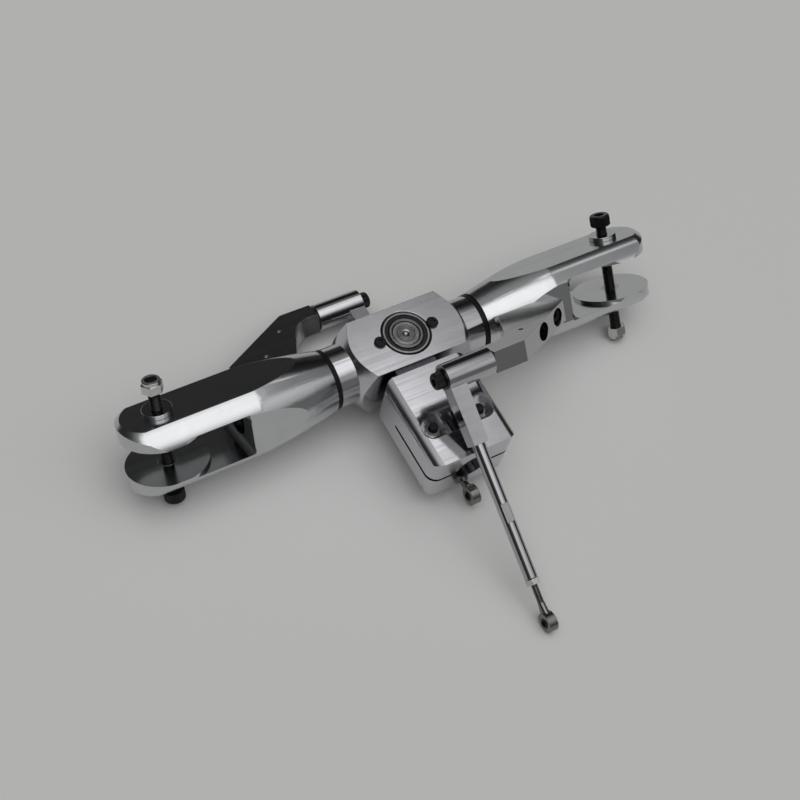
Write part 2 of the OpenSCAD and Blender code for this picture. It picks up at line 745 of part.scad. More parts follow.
// Link head: a barrel across the top of a tapering bar
module link_head(side) color(alloy) in_link(side) difference() {
    union() {
        rod_along_x(barrel_d / 2, barrel_left, barrel_right);
        translate([rod_x, 0, -bar_t / 2]) linear_extrude(bar_t) polygon([
            [-bar_w / 2, 0], [bar_w / 2, 0], [bar_end_w / 2, -bar_l], [-bar_end_w / 2, -bar_l]
        ]);
    }
    rod_along_x(race_d / 2 - race_lip, barrel_left - over, barrel_right + over);
    rod_along_x(race_d / 2 + fit_gap, barrel_left - over, barrel_left + race_l);
    rod_along_x(race_d / 2 + fit_gap, barrel_right - race_l, barrel_right + over);
    translate([rod_x, -bar_l + rod_in, 0]) rotate([90, 0, 0])
        cylinder(d = rod_d + 2 * fit_gap, h = rod_in + over);
}

module link_head_left() link_head(LEFT);
module link_head_right() link_head(RIGHT);

module flanged_race() {
    difference() {
        union() {
            rod_along_x(race_d / 2, -race_l, 0);
            rod_along_x(race_flange_d / 2, 0, race_flange_t);
        }
        rod_along_x(m4_d / 2 + run_gap, -race_l - over, race_flange_t + over);
    }
}

module link_bearings(side) color(steel) in_link(side) {
    translate([barrel_right, 0, 0]) flanged_race();
    translate([barrel_left, 0, 0]) rotate([0, 180, 0]) flanged_race();
}

module link_bearings_left() link_bearings(LEFT);
module link_bearings_right() link_bearings(RIGHT);

// Round rod with a spanner grip half way down
module link_rod(side) color(alloy) in_link(side) translate([rod_x, 0, 0]) difference() {
    translate([0, -bar_l + rod_in, 0]) rotate([90, 0, 0])
        cylinder(d = rod_d, h = rod_end_y - bar_l + rod_in);
    for (s = [0, 180]) rotate([0, s, 0]) translate([-rod_d, -rod_flat_y - rod_flat_l, rod_flat_w / 2])
        cube([2 * rod_d, rod_flat_l, rod_d]);
    translate([0, -rod_end_y + shank_in, 0]) rotate([90, 0, 0])
        cylinder(d = shank_d + 2 * fit_gap, h = shank_in + over);
}

module link_rod_left() link_rod(LEFT);
module link_rod_right() link_rod(RIGHT);

module jam_nut(side) color(zinc) in_link(side)
    translate([rod_x, -rod_end_y - jam_gap, 0]) rotate([90, 0, 0]) difference() {
        cylinder(r = jam_w / sqrt(3), h = jam_t, $fn = 6);
        translate([0, 0, -over]) cylinder(d = shank_d + 2 * fit_gap, h = jam_t + 2 * over);
    }

module jam_nut_left() jam_nut(LEFT);
module jam_nut_right() jam_nut(RIGHT);

// Rod end: a screwed shank with an eye that holds a ball
module rod_end(side) color(steel) in_link(side) translate([rod_x, -link_l, 0]) difference() {
    union() {
        rod_along_x(eye_d / 2, -eye_w / 2, eye_w / 2);
        rotate([-90, 0, 0]) cylinder(d = shank_d, h = link_l - rod_end_y + shank_in);
    }
    sphere(d = ball_d + 2 * run_gap);
}

module rod_end_left() rod_end(LEFT);
module rod_end_right() rod_end(RIGHT);

module rod_ball(side) color(black_steel) in_link(side) translate([rod_x, -link_l, 0]) difference() {
    intersection() {
        sphere(d = ball_d);
        rod_along_x(ball_d, -ball_w / 2, ball_w / 2);
    }
    rod_along_x(ball_bore / 2, -ball_d, ball_d);
}

module rod_ball_left() rod_ball(LEFT);
module rod_ball_right() rod_ball(RIGHT);

yoke();
clamp_bolts();
clamp_nuts();
teeter_pin();
teeter_spacers();
teeter_inner_rings();
hub_block();
teeter_outer_rings();
teeter_balls();
teeter_shields();
bearing_screws();
spindle_left();
spindle_right();
dampers();
feather_inner_rings();
spindle_thrust_rings();
spindle_washers();
spindle_bolts();
grip_left();
feather_outer_rings_left();
feather_balls_left();
grip_thrust_ring_left();
thrust_balls_left();
blade_bushes_left();
blade_bolt_left();
blade_nut_left();
pitch_arm_left();
arm_screws_left();
pivot_screw_left();
link_head_left();
link_bearings_left();
link_rod_left();
jam_nut_left();
rod_end_left();
rod_ball_left();
grip_right();
feather_outer_rings_right();
feather_balls_right();
grip_thrust_ring_right();
thrust_balls_right();
blade_bushes_right();
blade_bolt_right();
blade_nut_right();
pitch_arm_right();
arm_screws_right();
pivot_screw_right();
link_head_right();
link_bearings_right();
link_rod_right();
jam_nut_right();
rod_end_right();
rod_ball_right();
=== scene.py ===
# %% [markdown]
# # Helicopter rotor hub
# A two-blade see-saw rotor head in machined aluminium, lying on its side on a bench.
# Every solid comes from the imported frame. Blender adds eased edges, threads, knurls, nylon
# rings, the flared necks of the rod ends, and the finishes that machining, polishing and
# blackening leave. All lengths are in metres, and all angles in degrees.

import json
import math

import bmesh
import bpy
from mathutils import Matrix, Vector


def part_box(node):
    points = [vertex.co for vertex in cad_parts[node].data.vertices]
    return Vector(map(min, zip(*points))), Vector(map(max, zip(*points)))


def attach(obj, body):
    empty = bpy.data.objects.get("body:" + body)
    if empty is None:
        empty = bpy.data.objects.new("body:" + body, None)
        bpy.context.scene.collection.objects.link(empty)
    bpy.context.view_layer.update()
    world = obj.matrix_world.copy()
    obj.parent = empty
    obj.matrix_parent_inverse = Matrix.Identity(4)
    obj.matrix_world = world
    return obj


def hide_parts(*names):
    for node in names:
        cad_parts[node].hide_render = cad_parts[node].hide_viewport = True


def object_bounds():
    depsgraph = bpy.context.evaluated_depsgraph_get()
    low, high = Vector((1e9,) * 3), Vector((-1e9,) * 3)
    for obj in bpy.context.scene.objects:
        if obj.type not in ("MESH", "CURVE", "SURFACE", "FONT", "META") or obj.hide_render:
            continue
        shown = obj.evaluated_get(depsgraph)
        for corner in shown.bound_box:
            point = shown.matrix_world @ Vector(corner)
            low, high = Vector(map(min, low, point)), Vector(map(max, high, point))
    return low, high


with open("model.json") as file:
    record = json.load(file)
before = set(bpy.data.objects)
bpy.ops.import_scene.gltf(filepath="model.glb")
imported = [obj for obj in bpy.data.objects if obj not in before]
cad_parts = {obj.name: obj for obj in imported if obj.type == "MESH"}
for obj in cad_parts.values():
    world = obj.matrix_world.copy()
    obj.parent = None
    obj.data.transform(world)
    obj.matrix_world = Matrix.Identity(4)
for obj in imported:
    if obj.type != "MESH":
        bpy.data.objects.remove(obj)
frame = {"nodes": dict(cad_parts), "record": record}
cad_box = [list(corner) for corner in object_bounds()]
nodes = frame["nodes"]
scene = bpy.context.scene

# %% [markdown]
# ## Camera
# The camera stands at the left of the head, high over the near side. It could be aimed with
# three angles or a constraint. Here its axes are written out as vectors, because a turned
# matrix is plainer to check than three angles.

# %% Camera
camera_at = Vector((-0.24713, -0.22933, 0.51162))
camera_right = Vector((0.85819, -0.49556, 0.13392))
camera_up = Vector((0.34744, 0.75277, 0.55913))
camera_back = Vector((-0.37789, -0.43331, 0.81819))
sensor_width = 36.0
focal_length = 66.02
nearest_view = 0.01

lens = bpy.data.cameras.new("bench_camera")
lens.sensor_fit = "HORIZONTAL"
lens.sensor_width = sensor_width
lens.lens = focal_length
lens.clip_start = nearest_view
camera = bpy.data.objects.new("bench_camera", lens)
scene.collection.objects.link(camera)
axes = Matrix((camera_right, camera_up, camera_back)).transposed()
camera.matrix_world = Matrix.Translation(camera_at) @ axes.to_4x4()
scene.camera = camera
scene.view_settings.view_transform = "Standard"
print("camera at", [round(v, 3) for v in camera_at])

# %% [markdown]
# ## Node trees from code
# Materials, the room's light and Geometry Nodes are all node trees. They could be drawn in
# Blender's editors, but a script can be read and run again. A few helpers keep it short: one
# adds a node, sets it up and feeds its inputs, and the others make the sums used most.

# %% Helpers for node trees
def feed(tree, socket, value):
    if isinstance(value, bpy.types.NodeSocket):
        tree.links.new(value, socket)
    else:
        socket.default_value = value


def new_node(tree, kind, inputs=None, **settings):
    node = tree.nodes.new(kind)
    for name, setting in settings.items():
        setattr(node, name, setting)
    for label, value in (inputs or {}).items():
        feed(tree, node.inputs[label], value)
    return node


def maths(tree, operation, first, second=0.0):
    return new_node(tree, "ShaderNodeMath", {0: first, 1: second}, operation=operation).outputs[0]


def soft_step(tree, value, low, high):
    inputs = {"Value": value, "From Min": low, "From Max": high}
    return new_node(tree, "ShaderNodeMapRange", inputs, interpolation_type="SMOOTHSTEP").outputs["Result"]


print("node helpers ready")

# %% [markdown]
# ## Bench
# The head lies on a pale bench, which is a stage and not a piece of the head. The metal mirrors
# it, so its tone matters: pale under the head, and grey further out where less light falls. A
# single face is enough, with a colour that follows the distance from the origin.

# %% Bench
bench_gap = 0.0002
bench_half = 3.0
pale_within = 0.40
grey_beyond = 0.90
pale_paint = (0.90, 0.90, 0.89, 1)
grey_paint = (0.36, 0.36, 0.355, 1)
bench_rough = 0.75
bench_shine = 0.2

bench_z = cad_box[0][2] - bench_gap
corners = [(x * bench_half, y * bench_half, bench_z) for x, y in ((-1, -1), (1, -1), (1, 1), (-1, 1))]
bench_mesh = bpy.data.meshes.new("bench")
bench_mesh.from_pydata(corners, [], [(0, 1, 2, 3)])
bench = bpy.data.objects.new("bench", bench_mesh)
scene.collection.objects.link(bench)

bench_paint = bpy.data.materials.new("bench_paint")
bench_paint.use_nodes = True
coat = bench_paint.node_tree
spot = new_node(coat, "ShaderNodeTexCoord").outputs["Object"]
away = new_node(coat, "ShaderNodeVectorMath", {0: spot}, operation="LENGTH").outputs["Value"]
fade = soft_step(coat, away, pale_within, grey_beyond)
tone = new_node(coat, "ShaderNodeMix", {"Factor": fade, "A": pale_paint, "B": grey_paint}, data_type="RGBA")
shader = coat.nodes["Principled BSDF"]
feed(coat, shader.inputs["Base Color"], tone.outputs["Result"])
feed(coat, shader.inputs["Roughness"], bench_rough)
feed(coat, shader.inputs["Specular IOR Level"], bench_shine)
bench_mesh.materials.append(bench_paint)
print("bench at", round(bench_z * 1000, 2), "mm")

# %% [markdown]
# ## Room light
# Polished metal shows its surroundings more than its own colour. Over a bench there is a wide
# soft light, and the room around it is darker: faces turned up go white, and faces turned to the
# room go nearly black. Lamps could be separate objects, but a world made of nodes gives smooth
# reflections without noise. Its base is a grey that follows the height of the view direction.

# %% Room tone
tone_by_height = ((0.0, 0.05), (0.12, 0.03), (0.40, 0.03), (0.62, 0.08),
                  (0.74, 0.24), (0.86, 0.32), (1.0, 0.36))

world = bpy.data.worlds.new("soft_room")
scene.world = world
world.use_nodes = True
room = world.node_tree
room.nodes.clear()
look = new_node(room, "ShaderNodeTexCoord").outputs["Generated"]
way = new_node(room, "ShaderNodeSeparateXYZ", {0: look}).outputs
ramp = new_node(room, "ShaderNodeValToRGB", {"Fac": way["Z"]})
stops = ramp.color_ramp.elements
while len(stops) < len(tone_by_height):
    stops.new(1.0)
for stop, (position, grey) in zip(stops, tone_by_height):
    stop.position = position
    stop.color = (grey, grey, grey, 1)
print("room tone:", len(tone_by_height), "greys from the horizon to the ceiling")

# %% [markdown]
# ## Lamps in the room
# Dividing the direction's X and Y by its height lays the ceiling out flat. On it each lamp is a
# rectangle with soft edges: four numbers each way say where its light starts, is full, starts
# to fall and is gone. The doorway is such a rectangle too, taken out of the room's tone. Each
# shows on the metal as a streak or a gradient.

# %% Lamps
lowest_height = 0.05
height = maths(room, "MAXIMUM", way["Z"], lowest_height)
across = maths(room, "DIVIDE", way["X"], height)
along = maths(room, "DIVIDE", way["Y"], height)


def soft_window(value, edges):
    rise = soft_step(room, value, edges[0], edges[1])
    fall = soft_step(room, value, edges[2], edges[3])
    return maths(room, "MULTIPLY", rise, maths(room, "SUBTRACT", 1.0, fall))


def lamp(sideways, lengthways, strength):
    patch = maths(room, "MULTIPLY", soft_window(across, sideways), soft_window(along, lengthways))
    return maths(room, "MULTIPLY", patch, strength)


panel = lamp((-0.8, -0.55, 0.40, 0.50), (-1.2, -0.45, 0.05, 0.38), 1.12)
spot_lamp = lamp((0.34, 0.40, 0.44, 0.49), (0.25, 0.31, 0.36, 0.44), 1.50)
tube = lamp((0.55, 0.60, 0.68, 0.76), (0.28, 0.33, 0.38, 0.44), 0.90)
screen = lamp((0.45, 0.60, 1.00, 1.60), (-2.0, -1.0, -0.45, -0.10), 0.50)
doorway = lamp((0.52, 0.68, 1.6, 2.4), (0.42, 0.60, 2.0, 3.0), 0.80)
print("lamps: a soft panel, a spot lamp, a tube and a pale screen, with a dark doorway")

# %% Near wall, and the whole room
wall_tone = 0.15
wall_nearness = (0.2, 0.9)
wall_top = (0.35, 0.6)

nearness = soft_step(room, maths(room, "MULTIPLY", way["Y"], -1.0), *wall_nearness)
lowness = maths(room, "SUBTRACT", 1.0, soft_step(room, way["Z"], *wall_top))
near_wall = maths(room, "MULTIPLY", maths(room, "MULTIPLY", nearness, lowness), wall_tone)
level = maths(room, "MULTIPLY", ramp.outputs["Color"], maths(room, "SUBTRACT", 1.0, doorway))
for light in (panel, spot_lamp, tube, screen, near_wall):
    level = maths(room, "ADD", level, light)
glow = new_node(room, "ShaderNodeBackground", {"Color": level})
new_node(room, "ShaderNodeOutputWorld", {"Surface": glow.outputs["Background"]})
print("room light:", len(room.nodes), "nodes")

# %% [markdown]
# ## Finishes that lie all over a surface
# Five effects come back in several materials, so each is a node group, built once and placed in
# each material with its own values. Three of them cover a whole surface: the straight lines that
# a cutter leaves, the cloudy marks of handling, and the grain of a fine skin. Noise that is
# stretched along one axis looks like tool lines, and needs no picture.

# %% Cutter lines, handling marks and grain
def new_group(name, inputs, outputs):
    group = bpy.data.node_groups.new(name, "ShaderNodeTree")
    for label, (kind, value) in inputs.items():
        socket = group.interface.new_socket(label, in_out="INPUT", socket_type="NodeSocket" + kind)
        socket.default_value = value
    for label in outputs:
        group.interface.new_socket(label, in_out="OUTPUT", socket_type="NodeSocketFloat")
    return group, new_node(group, "NodeGroupInput").outputs, new_node(group, "NodeGroupOutput").inputs


def cutter_lines_group():
    group, given, result = new_group(
        "cutter_lines", {"Vector": ("Vector", (0, 0, 0)), "Lines": ("Vector", (2000, 60, 60))},
        ("Height", "Streak"))
    stretch = new_node(group, "ShaderNodeVectorMath", {0: given["Vector"], 1: given["Lines"]},
                       operation="MULTIPLY")
    for label, scale, detail in (("Height", 1.0, 3.0), ("Streak", 0.17, 2.0)):
        noise = new_node(group, "ShaderNodeTexNoise", {
            "Vector": stretch.outputs["Vector"], "Scale": scale, "Detail": detail})
        feed(group, result[label], noise.outputs["Fac"])
    return group


def handling_group():
    group, given, result = new_group(
        "handling_marks", {"Vector": ("Vector", (0, 0, 0)), "Scale": ("Float", 70.0)}, ("Mask",))
    cloud = new_node(group, "ShaderNodeTexNoise", {
        "Vector": given["Vector"], "Scale": given["Scale"],
        "Detail": 5.0, "Roughness": 0.6, "Distortion": 0.6})
    feed(group, result["Mask"], cloud.outputs["Fac"])
    return group


def grain_group():
    group, given, result = new_group(
        "skin_grain", {"Vector": ("Vector", (0, 0, 0)), "Scale": ("Float", 3000.0)}, ("Height",))
    grain = new_node(group, "ShaderNodeTexNoise", {
        "Vector": given["Vector"], "Scale": given["Scale"], "Detail": 2.0})
    feed(group, result["Height"], grain.outputs["Fac"])
    return group


cutter_lines = cutter_lines_group()
handling_marks = handling_group()
skin_grain = grain_group()
print("groups: cutter_lines, handling_marks, skin_grain")

# %% [markdown]
# ## Finishes that follow a shape
# A face turned in a lathe has rings round its centre, so its noise depends on the radius alone.
# The walls deep in a fork are rougher, because no polishing wheel reaches them, and their colour is darkened
# as a painted shade: a mask picks them out by how far they lie along the blade's line and how high beside it.

# %% Facing rings and fork recess
def facing_group():
    group, given, result = new_group(
        "facing_rings", {"Vector": ("Vector", (0, 0, 0)), "Scale": ("Float", 7000.0)}, ("Height", "Streak"))
    flat = new_node(group, "ShaderNodeVectorMath", {0: given["Vector"], 1: (1, 1, 0)}, operation="MULTIPLY")
    radius = new_node(group, "ShaderNodeVectorMath", {0: flat.outputs["Vector"]}, operation="LENGTH")
    count = maths(group, "MULTIPLY", radius.outputs["Value"], given["Scale"])
    for label, scale in (("Height", 1.0), ("Streak", 0.25)):
        ring = new_node(group, "ShaderNodeTexNoise", {"W": count, "Scale": scale, "Detail": 2.0},
                        noise_dimensions="1D")
        feed(group, result[label], ring.outputs["Fac"])
    return group


def recess_group():
    group, given, result = new_group("fork_recess", {
        "Vector": ("Vector", (0, 0, 0)), "Near": ("Float", 0.0), "Far": ("Float", 0.0),
        "Half": ("Float", 0.0)}, ("Mask",))
    spot = new_node(group, "ShaderNodeSeparateXYZ", {0: given["Vector"]}).outputs
    outwards = maths(group, "ABSOLUTE", spot["X"])
    past = maths(group, "GREATER_THAN", outwards, given["Near"])
    before = maths(group, "LESS_THAN", outwards, given["Far"])
    between = maths(group, "LESS_THAN", maths(group, "ABSOLUTE", spot["Z"]), given["Half"])
    feed(group, result["Mask"], maths(group, "MULTIPLY", maths(group, "MULTIPLY", past, before), between))
    return group


facing_rings = facing_group()
fork_recess = recess_group()
print("groups: facing_rings, fork_recess")

# %% [markdown]
# ## Metals
# All the metals share one recipe. Handling marks move the colour between two close shades,
# the cutter's streaks move the roughness, and lines and grain together drive a small bump.
# A finish with a centre has rings round it instead of lines, and its colour follows the rings, because each
# holds oil and dust. A finish with a fork has rougher walls deep in that fork, and their colour is darkened
# there as a painted shade. One function with a few values for each metal is easier to tune than many trees
# drawn by hand.

# %% Patterns that are turned with a piece
recess_from, recess_to, recess_half = 0.0789, 0.0822, 0.0098
# The grey below multiplies the colour deep in a fork: it is a painted shade.
recess_shade_grey = (0.30, 0.30, 0.31, 1)
recess_dulling = 0.30


def turned_place(tree, place, turned):
    return new_node(tree, "ShaderNodeMapping", {
        "Vector": place, "Location": turned.to_translation(), "Rotation": turned.to_euler()},
        vector_type="TEXTURE").outputs["Vector"]


# Deep in a fork the colour is multiplied by that grey, a painted shade, and the roughness rises.
def dull_and_shade_recess(tree, place, turned, colour, gloss):
    deep = new_node(tree, "ShaderNodeGroup", {
        "Vector": turned_place(tree, place, turned), "Near": recess_from, "Far": recess_to,
        "Half": recess_half}, node_tree=fork_recess).outputs["Mask"]
    shaded_colour = new_node(tree, "ShaderNodeMix", {"Factor": deep, "A": colour, "B": recess_shade_grey},
                   data_type="RGBA", blend_type="MULTIPLY")
    return shaded_colour.outputs["Result"], maths(tree, "ADD", gloss, maths(tree, "MULTIPLY", deep, recess_dulling))


print("deep fork walls from", recess_from * 1000, "to", recess_to * 1000, "mm along the blade's line")

# %% Metal recipe
marks_scale = 70.0
grain_scale = 3000.0
ring_steps = (0.38, 0.60)
streak_low, streak_high = 0.3, 0.7
bump_depth = 0.0001


def finish(name, dark, light, rough, lines, line_bump, grain_bump,
           metallic=1.0, shine=0.5, centre=None, fork=None):
    material = bpy.data.materials.new(name)
    material.use_nodes = True
    tree = material.node_tree
    place = new_node(tree, "ShaderNodeTexCoord").outputs["Object"]
    if centre is None:
        cut = new_node(tree, "ShaderNodeGroup", {"Vector": place, "Lines": lines}, node_tree=cutter_lines)
        blend = new_node(tree, "ShaderNodeGroup", {"Vector": place, "Scale": marks_scale},
                         node_tree=handling_marks).outputs["Mask"]
    else:
        turned = turned_place(tree, place, centre)
        cut = new_node(tree, "ShaderNodeGroup", {"Vector": turned, "Scale": lines}, node_tree=facing_rings)
        blend = soft_step(tree, cut.outputs["Streak"], *ring_steps)
    colour = new_node(tree, "ShaderNodeMix", {
        "Factor": blend, "A": (*dark, 1), "B": (*light, 1)}, data_type="RGBA").outputs["Result"]
    gloss = new_node(tree, "ShaderNodeMapRange", {
        "Value": cut.outputs["Streak"], "From Min": streak_low, "From Max": streak_high,
        "To Min": rough[0], "To Max": rough[1]}).outputs["Result"]
    # A fork's deep walls get a painted shade in their colour and more roughness.
    if fork is not None:
        colour, gloss = dull_and_shade_recess(tree, place, fork, colour, gloss)
    skin = new_node(tree, "ShaderNodeGroup", {"Vector": place, "Scale": grain_scale}, node_tree=skin_grain)
    lined = new_node(tree, "ShaderNodeBump", {
        "Height": cut.outputs["Height"], "Strength": line_bump, "Distance": bump_depth})
    grained = new_node(tree, "ShaderNodeBump", {
        "Height": skin.outputs["Height"], "Strength": grain_bump, "Distance": bump_depth,
        "Normal": lined.outputs["Normal"]})
    shader = tree.nodes["Principled BSDF"]
    for label, value in {"Base Color": colour, "Metallic": metallic, "Roughness": gloss,
                         "Specular IOR Level": shine, "Normal": grained.outputs["Normal"]}.items():
        feed(tree, shader.inputs[label], value)
    return material


print("metal recipe ready, with a bump of", bump_depth * 1000, "mm")

# %% [markdown]
# ## One finish for each material slot
# Each row gives a dark and a light shade, the range of the roughness, the cutter's lines per
# metre along X, Y and Z, and the strength of the lines and of the grain. Many lines two ways
# and few along the third make long streaks. Rubber takes the same recipe without the metal.

# %% Finishes by slot
LONG_STREAKS = (14.0, 1300.0, 1300.0)
ALONG_X = (12.0, 4200.0, 4200.0)
FINE = (900.0, 900.0, 900.0)
finishes = {
    "alloy_satin": finish(
        "satin_alloy", (0.50, 0.50, 0.525), (0.62, 0.62, 0.645), (0.12, 0.19), ALONG_X, 0.02, 0.035),
    "alloy_turned": finish(
        "turned_alloy", (0.52, 0.53, 0.54), (0.62, 0.63, 0.64), (0.13, 0.21), LONG_STREAKS, 0.05, 0.012),
    "alloy_milled": finish(
        "milled_alloy", (0.42, 0.43, 0.43), (0.54, 0.54, 0.54), (0.12, 0.20), ALONG_X, 0.012, 0.02),
    "alloy_link": finish(
        "link_alloy", (0.45, 0.45, 0.465), (0.56, 0.56, 0.575), (0.10, 0.16), ALONG_X, 0.008, 0.01),
    "black_steel": finish(
        "black_oxide", (0.010, 0.010, 0.011), (0.030, 0.029, 0.029), (0.22, 0.40), FINE, 0.06, 0.12,
        metallic=0.6),
    "zinc_nut": finish(
        "zinc_plate", (0.50, 0.51, 0.50), (0.72, 0.73, 0.70), (0.14, 0.30), FINE, 0.08, 0.08),
    "bearing_steel": finish(
        "bearing_steel", (0.40, 0.40, 0.41), (0.52, 0.52, 0.53), (0.14, 0.26), FINE, 0.04, 0.02),
    "ground_steel": finish(
        "ground_steel", (0.54, 0.53, 0.52), (0.66, 0.65, 0.64), (0.08, 0.16), FINE, 0.04, 0.015),
    "damper_rubber": finish(
        "damper_rubber", (0.006, 0.006, 0.007), (0.018, 0.018, 0.019), (0.38, 0.55), FINE, 0.2, 0.3,
        metallic=0.0, shine=0.15),
}
print("finishes:", ", ".join(finishes))

# %% [markdown]
# ## Where the hub and the grips lie
# The origin is the mouth of the mast bore, and the teeter pin lies one mast reach from it. The
# head lies on the bench with a small lean, and each grip is turned about the blade's line. Some
# patterns and fasteners follow those turned frames, so each frame is a matrix, made once.

# %% Frames of the hub and the grips
SIDES = ("left", "right")
head_lean = 4.0
mast_reach = 0.0614
grip_pitch = {"left": -27.5, "right": -41.5}


def about_x(degrees):
    return Matrix.Rotation(math.radians(degrees), 4, "X")


hub_frame = about_x(head_lean) @ Matrix.Translation((0, mast_reach, 0))
grip_frame = {side: hub_frame @ about_x(grip_pitch[side]) for side in SIDES}
print("pin at", [round(v * 1000, 1) for v in hub_frame.to_translation()], "mm")

# %% [markdown]
# ## Faces turned in a lathe
# The pin's end and the bearing's rings were faced in a lathe, so their marks are circles round
# the pin. A Mapping node brings the pin's centre to the middle of the pattern. Fine rings in
# the bump spread each highlight outwards, which is what draws the bright wedges on a faced end.
# Here the number after the roughness is the count of rings per metre.

# %% Faced finishes
faced_pin = finish(
    "faced_pin", (0.15, 0.15, 0.15), (0.34, 0.34, 0.335), (0.10, 0.16), 3600.0, 0.60, 0.005,
    centre=hub_frame)
faced_ring = finish(
    "faced_ring", (0.05, 0.05, 0.05), (0.34, 0.34, 0.345), (0.10, 0.18), 6400.0, 0.10, 0.005,
    centre=hub_frame)
dark_shield = finish(
    "dark_shield", (0.02, 0.02, 0.02), (0.07, 0.07, 0.07), (0.18, 0.30), 4200.0, 0.12, 0.01,
    centre=hub_frame)
own_finish = {"teeter_pin": faced_pin, "teeter_inner_rings": faced_ring, "teeter_outer_rings": faced_ring,
              "teeter_shields": dark_shield}
print("faced:", ", ".join(own_finish))

# %% [markdown]
# ## Pieces with a finish of their own
# The rod ends are burnished, the bearings' flanges are dark, and the rods are drawn, with fine lines along
# them. Each grip is polished like the other turned pieces, apart from its deep fork walls, which are rougher
# and carry a painted shade. A finish here wins over the one that the slot gives.

# %% Own finishes
ALONG_RODS = (3000.0, 30.0, 30.0)
burnished = finish("burnished_steel", (0.16, 0.155, 0.15), (0.30, 0.29, 0.28), (0.14, 0.26), FINE, 0.06, 0.03)
dark_flange = finish("dark_flange", (0.05, 0.05, 0.05), (0.10, 0.10, 0.10), (0.22, 0.34), FINE, 0.06, 0.03)
drawn_rod = finish("drawn_rod", (0.38, 0.38, 0.39), (0.50, 0.50, 0.51), (0.10, 0.20), ALONG_RODS, 0.03, 0.02)
for side in SIDES:
    own_finish["rod_end_" + side] = burnished
    own_finish["link_bearings_" + side] = dark_flange
    own_finish["link_rod_" + side] = drawn_rod
    own_finish["grip_" + side] = finish(
        "polished_grip_" + side, (0.52, 0.53, 0.54), (0.62, 0.63, 0.64), (0.13, 0.21),
        LONG_STREAKS, 0.05, 0.012, fork=grip_frame[side])
print("own finishes for", ", ".join(own_finish))

# %% [markdown]
# ## Dressing the solids
# Each solid of the frame names a material slot, and the slot picks its finish, unless the piece
# has its own. Only the material changes: the solids keep their shape and their place.

# %% Dress the solids
slot_of = {part["node"]: part["material_slot"] for part in frame["record"]["subparts"]}


def finish_of(node):
    return own_finish.get(node, finishes[slot_of[node]])


for name, solid in nodes.items():
    solid.data.materials.clear()
    solid.data.materials.append(finish_of(name))
print("dressed", len(nodes), "solids")

# %% [markdown]
# ## Eased edges
# A machined part never has a perfectly sharp edge: each is broken with a file or a cutter, and
# that thin bevel catches the light. A bevel in the shader would only bend the light, so here
# the edge is real. A copy of the solid's mesh is merged and its flat faces are joined. Edges
# beside a flat face stay sharp in the shading, so that the flat mirrors the room evenly.

# %% A merged copy of a solid
same_point = 2e-6
sliver_width = 1e-5
flat_within = 0.3
on_surface = 3e-5
flat_crease, round_crease = 3.0, 40.0
quad_corners = 4


def merged_shape(node):
    shape = bmesh.new()
    shape.from_mesh(nodes[node].data)
    bmesh.ops.remove_doubles(shape, verts=shape.verts, dist=same_point)
    bmesh.ops.dissolve_degenerate(shape, edges=shape.edges, dist=sliver_width)
    bmesh.ops.dissolve_limit(
        shape, angle_limit=math.radians(flat_within), verts=shape.verts, edges=shape.edges)
    return shape


def slim_down(shape, axis, radius, core):
    back = axis.inverted()
    for vert in shape.verts:
        spot = back @ vert.co
        if abs(spot.xy.length - radius) < on_surface:
            vert.co = axis @ Vector((spot.x * core / radius, spot.y * core / radius, spot.z))


def mark_creases(shape):
    for face in shape.faces:
        face.smooth = True
    for edge in shape.edges:
        bend = math.degrees(edge.calc_face_angle(0.0))
        beside_flat = max(len(face.verts) for face in edge.link_faces) > quad_corners
        edge.smooth = bend < (flat_crease if beside_flat else round_crease)


print("creases at", flat_crease, "degrees beside a flat face and", round_crease, "elsewhere")

# %% [markdown]
# ## The bevel
# The bevel goes round the sharp edges of the copy, and what it leaves without any area is taken
# out. Weighted normals then keep the large faces flat in the light. The copy stands for the
# solid: it hides it, rides on its body and keeps its slot.

# %% Applying a modifier
merge_after = 1e-6
sliver_after = 2e-6


def applied(piece):
    graph = bpy.context.evaluated_depsgraph_get()
    mesh = bpy.data.meshes.new_from_object(piece.evaluated_get(graph))
    piece.modifiers.clear()
    return mesh


def drop_slivers(mesh):
    shape = bmesh.new()
    shape.from_mesh(mesh)
    bmesh.ops.remove_doubles(shape, verts=shape.verts, dist=merge_after)
    bmesh.ops.dissolve_degenerate(shape, edges=shape.edges, dist=sliver_after)
    shape.to_mesh(mesh)
    shape.free()


print("after a bevel, slivers under", sliver_after * 1000, "mm go")

# %% Eased copies
bevel_steps = 2
bevel_angle = 28.0
bodies = frame["record"]["behaviour"]["bodies"]
body_of = {node: body for body, members in bodies.items() for node in members}


def eased_copy(node, width, slimmer=()):
    shape = merged_shape(node)
    for axis, radius, core in slimmer:
        slim_down(shape, axis, radius, core)
    mark_creases(shape)
    mesh = bpy.data.meshes.new(node + "_eased")
    shape.to_mesh(mesh)
    shape.free()
    piece = bpy.data.objects.new(node + "_eased", mesh)
    scene.collection.objects.link(piece)
    bevel = piece.modifiers.new("edges", "BEVEL")
    bevel.width = width
    bevel.segments = bevel_steps
    bevel.limit_method = "ANGLE"
    bevel.angle_limit = math.radians(bevel_angle)
    bevel.use_clamp_overlap = True
    piece.data = applied(piece)
    drop_slivers(piece.data)
    piece.modifiers.new("weights", "WEIGHTED_NORMAL").keep_sharp = True
    piece.data = applied(piece)
    piece.data.name = node + "_eased"
    piece.data.materials.clear()
    piece.data.materials.append(finish_of(node))
    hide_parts(node)
    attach(piece, body_of[node])
    print("eased", node, len(piece.data.polygons), "faces")


print("bevels of", bevel_steps, "steps on edges over", bevel_angle, "degrees")

